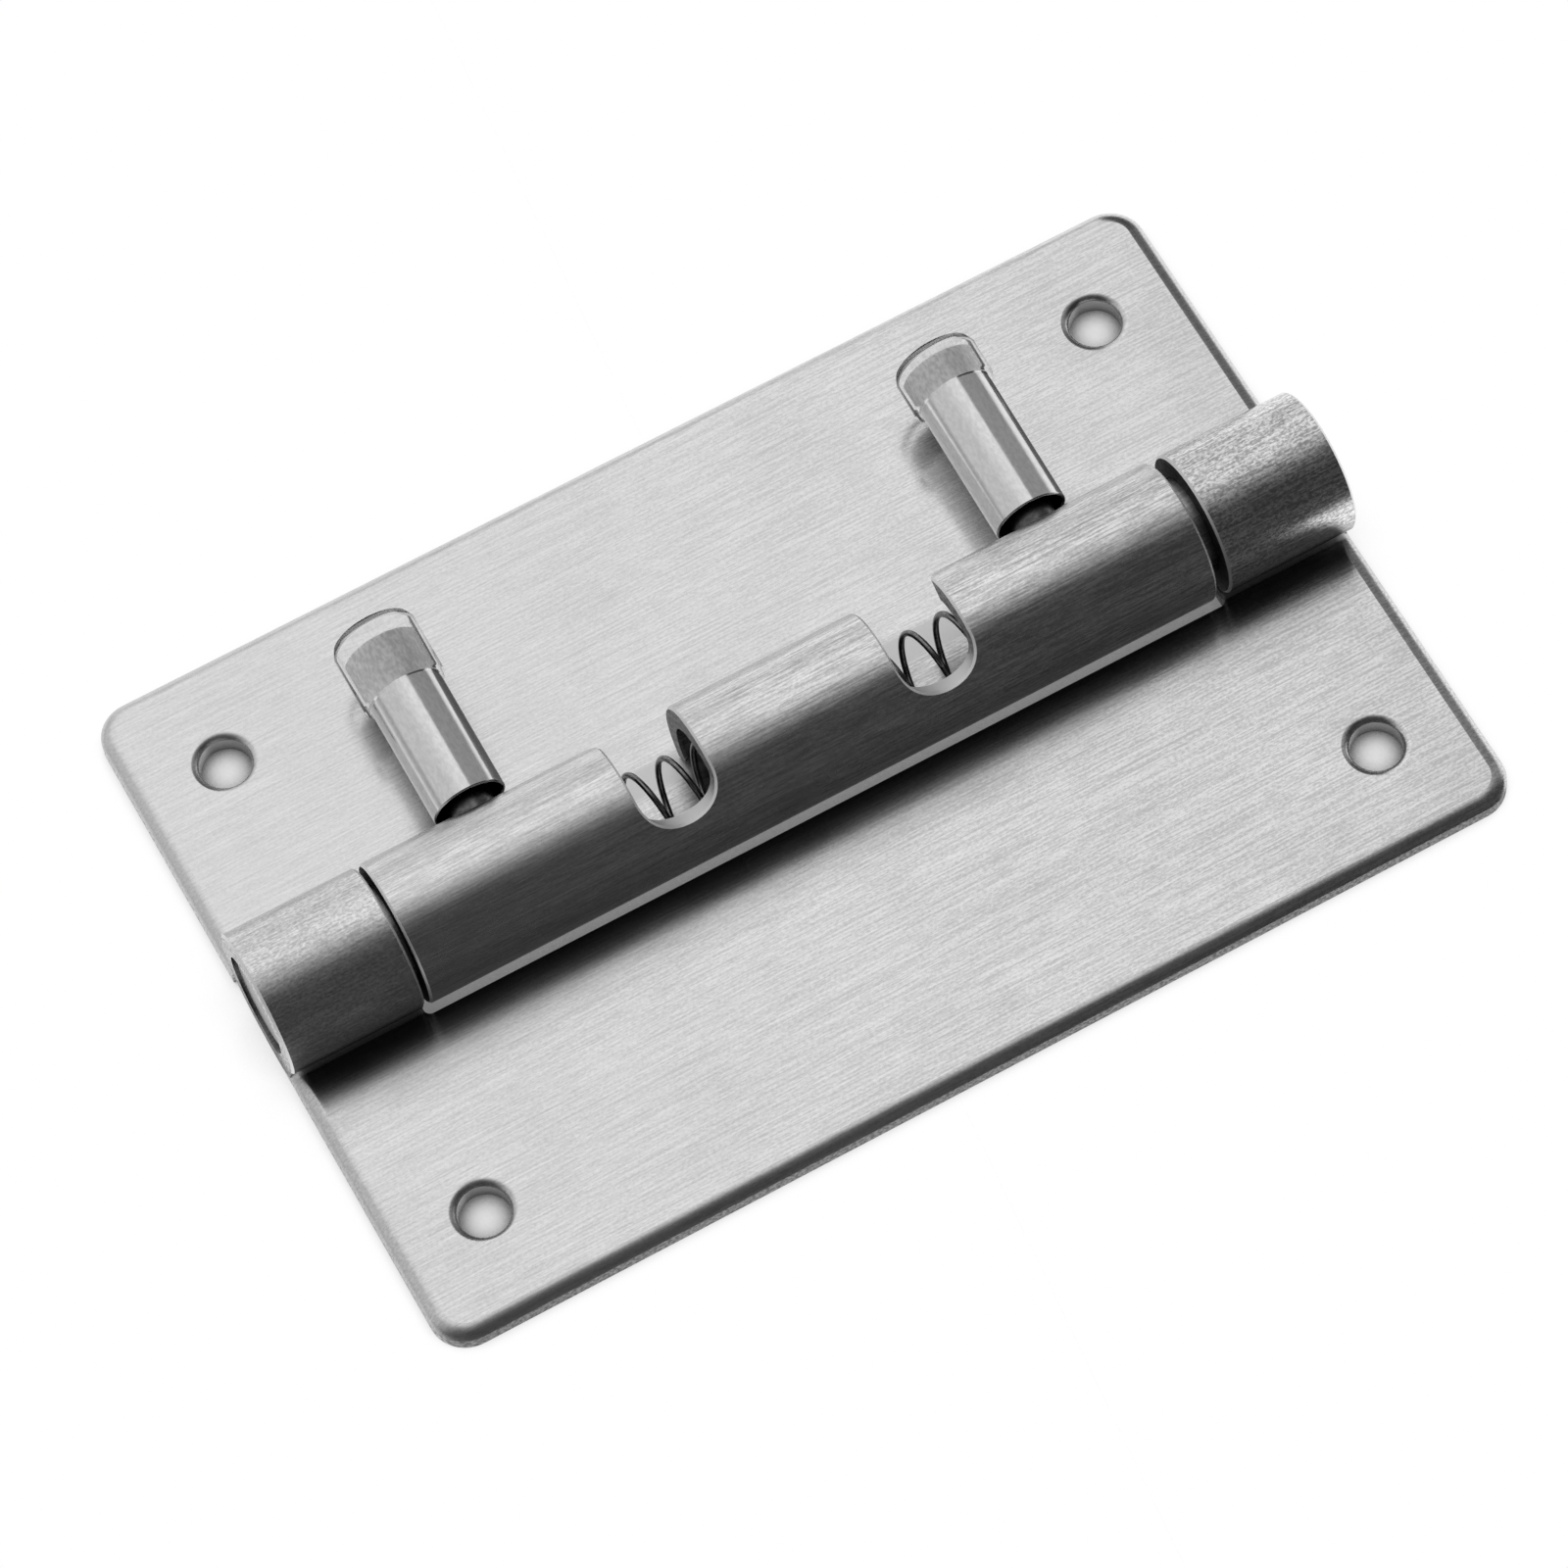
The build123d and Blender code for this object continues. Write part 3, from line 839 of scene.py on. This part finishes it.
def build_spring_half(name, start, end):
    turns = (end - start) / COIL_PITCH
    steps = round(turns * STEPS_PER_TURN)
    lead = math.atan2(COIL_PITCH, 2 * math.pi * COIL_RADIUS)
    start_angle = (start - COIL_PHASE) / COIL_PITCH * 2 * math.pi
    wire = bmesh.new()
    bmesh.ops.create_circle(wire, cap_ends=False, segments=WIRE_SIDES, radius=WIRE_RADIUS)
    tilt = Matrix.Rotation(lead, 4, "Y")
    out = Matrix.Translation(Vector((start, COIL_RADIUS, 0)))
    swing = Matrix.Rotation(start_angle, 4, "X")
    place = Matrix.Translation(SPRING_CENTRE) @ swing @ out @ tilt
    bmesh.ops.transform(wire, matrix=place, verts=wire.verts)
    bmesh.ops.spin(
        wire,
        geom=[*wire.verts, *wire.edges],
        cent=SPRING_CENTRE,
        axis=(1, 0, 0),
        dvec=((end - start) / steps, 0, 0),
        angle=turns * 2 * math.pi,
        steps=steps,
        use_merge=False,
    )
    ends = [edge for edge in wire.edges if edge.is_boundary]
    bmesh.ops.holes_fill(wire, edges=ends, sides=WIRE_SIDES)
    for vert in wire.verts:
        share = 1 - (vert.co.x / SAG_REACH) ** SAG_POWER
        vert.co.z -= SPRING_SAG * max(0.0, share)
    return finish_mesh(wire, name, WIRE_STEEL, "fixed_leaf", WIRE_SHARP_ANGLE)


print("spring reaches in mm from the middle:", round(SPRING_REACH / MM, 2))

# %% [markdown]
# ## The spring's two halves
# Both bolts can be drawn, so the spring is made as two halves that meet in the middle. Each ends
# one wire radius early, so that the whole wire stays inside the spring's length.

# %% Spring halves
right_half = build_spring_half("spring_right_half", 0.0, SPRING_REACH - WIRE_RADIUS)
left_half = build_spring_half("spring_left_half", WIRE_RADIUS - SPRING_REACH, 0.0)
for half, joint in ((right_half, "right_bolt_slide"), (left_half, "left_bolt_slide")):
    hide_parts("bolt_spring")
    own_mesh(half)
    print(half.name, "faces:", len(half.data.polygons))

# %% [markdown]
# ## Turned shapes
# Each lever is a stud screwed into its bolt, with a drawn steel sleeve on it and a clear cap pushed
# over the sleeve's end. All three are turned shapes, so one helper spins a profile about the
# lever's axis. A profile is a list of places along the axis with their radii, in millimetres.

# %% Turning helpers
LEVER_TILT = math.radians(4)
ROUND_STEPS = 96
WELD_DISTANCE = 0.001 * MM
BEVEL_SEGMENTS = 3
BEVEL_ANGLE = math.radians(35)


def lever_place(side):
    low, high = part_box(f"{side}_lever_stud")
    origin = Vector(((low.x + high.x) / 2, 0, AXIS_HEIGHT))
    along_y = Matrix.Rotation(math.radians(-90) + LEVER_TILT, 4, "X")
    return Matrix.Translation(origin) @ along_y


def turned_shape(profile, place):
    shape = bmesh.new()
    verts = [shape.verts.new((radius * MM, 0, along * MM)) for along, radius in profile]
    edges = [shape.edges.new(pair) for pair in zip(verts, verts[1:] + verts[:1])]
    bmesh.ops.spin(
        shape,
        geom=[*verts, *edges],
        cent=(0, 0, 0),
        axis=(0, 0, 1),
        angle=2 * math.pi,
        steps=ROUND_STEPS,
        use_merge=True,
    )
    bmesh.ops.remove_doubles(shape, verts=shape.verts, dist=WELD_DISTANCE)
    bmesh.ops.transform(shape, matrix=place, verts=shape.verts)
    return shape


def round_edges(piece, width):
    bevel = piece.modifiers.new("rounded_edges", "BEVEL")
    bevel.width = width * MM
    bevel.segments = BEVEL_SEGMENTS
    bevel.limit_method = "ANGLE"
    bevel.angle_limit = BEVEL_ANGLE
    bevel.harden_normals = False
    return piece


print("lever tilt in degrees:", round(math.degrees(LEVER_TILT), 1))

# %% [markdown]
# ## The sleeve
# The sleeve is hollow only at its mouth. Its faces under the cap have the duller steel, painted
# paler as the light that the cap spreads over it.

# %% Sleeve
SLEEVE_RADIUS = 3.3
SLEEVE_BORE = 3.0
SLEEVE_START = 7.15
SLEEVE_END = 23.1
SLEEVE_MOUTH_DEPTH = 3.5
SLEEVE_EDGE = 0.2


def build_sleeve(side, place, body, cap_start):
    floor_of_mouth = SLEEVE_START + SLEEVE_MOUTH_DEPTH
    profile = [
        (floor_of_mouth, 0),
        (floor_of_mouth, SLEEVE_BORE),
        (SLEEVE_START, SLEEVE_BORE),
        (SLEEVE_START, SLEEVE_RADIUS),
        (cap_start, SLEEVE_RADIUS),
        (SLEEVE_END, SLEEVE_RADIUS),
        (SLEEVE_END, 0),
    ]
    sleeve = finish_mesh(turned_shape(profile, place), f"{side}_sleeve", LEVER_STEEL, body)
    sleeve.data.materials.append(PAINTED_LIGHT_SLEEVE_STEEL)
    to_lever = place.inverted()
    for face in sleeve.data.polygons:
        face.material_index = int((to_lever @ face.center).z > cap_start * MM)
    round_edges(sleeve, SLEEVE_EDGE)
    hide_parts(f"{side}_lever_tube")
    return sleeve


print("sleeve length in mm:", round(SLEEVE_END - SLEEVE_START, 2))

# %% [markdown]
# ## The stud
# The stud is a plain shank, painted dark as the shade inside the sleeve's mouth. It starts in the
# bolt and ends inside the sleeve's solid part.

# %% Stud
STUD_RADIUS = 2.0
STUD_START = 3.6
STUD_IN_SLEEVE = 6
STUD_EDGE = 0.15


def build_stud(side, place, body):
    end = SLEEVE_START + STUD_IN_SLEEVE
    profile = [(STUD_START, 0), (STUD_START, STUD_RADIUS), (end, STUD_RADIUS), (end, 0)]
    stud = finish_mesh(turned_shape(profile, place), f"{side}_stud_shank", PAINTED_SHADE_STUD_STEEL, body)
    round_edges(stud, STUD_EDGE)
    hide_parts(f"{side}_lever_stud")
    return stud


print("stud radius in mm:", STUD_RADIUS)

# %% [markdown]
# ## The cap
# The cap is a thin cup with a soft nose. Its side turns in at the shoulder, and again at the nose.

# %% Cap
CAP_RADIUS = 3.8
CAP_BORE = 3.32
CAP_END_WALL = 0.8
CAP_SHOULDER_BEFORE_END = 1.0
CAP_NOSE_BEFORE_END = 0.3
CAP_NOSE_TURNED_IN = 0.3
CAP_END_TURNED_IN = 1.1
CAP_EDGE = 0.12


def build_cap(side, place, body, start, end):
    profile = [
        (start, CAP_BORE),
        (start, CAP_RADIUS),
        (end - CAP_SHOULDER_BEFORE_END, CAP_RADIUS),
        (end - CAP_NOSE_BEFORE_END, CAP_RADIUS - CAP_NOSE_TURNED_IN),
        (end, CAP_RADIUS - CAP_END_TURNED_IN),
        (end, 0),
        (end - CAP_END_WALL, 0),
        (end - CAP_END_WALL, CAP_BORE),
    ]
    shape = turned_shape(profile, place)
    cap = finish_mesh(shape, f"{side}_clear_cap", CLEAR_PLASTIC, body, CAP_SHARP_ANGLE)
    round_edges(cap, CAP_EDGE)
    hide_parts(f"{side}_lever_cap")
    return cap


print("cap wall in mm:", round(CAP_RADIUS - CAP_BORE, 2))

# %% [markdown]
# ## Both levers
# The two levers differ only in their caps: the left cap is longer and stands empty past its sleeve.

# %% Lever pieces
# where each cap starts and ends along its lever, in mm
CAP_SPANS = {"left": (18.75, 25.2), "right": (20.3, 24.5)}

for side, (cap_start, cap_end) in CAP_SPANS.items():
    lever = lever_place(side)
    body = f"{side}_bolt_group"
    stud = build_stud(side, lever, body)
    sleeve = build_sleeve(side, lever, body, cap_start)
    cap = build_cap(side, lever, body, cap_start, cap_end)
    print(side, "lever pieces:", stud.name, sleeve.name, cap.name)
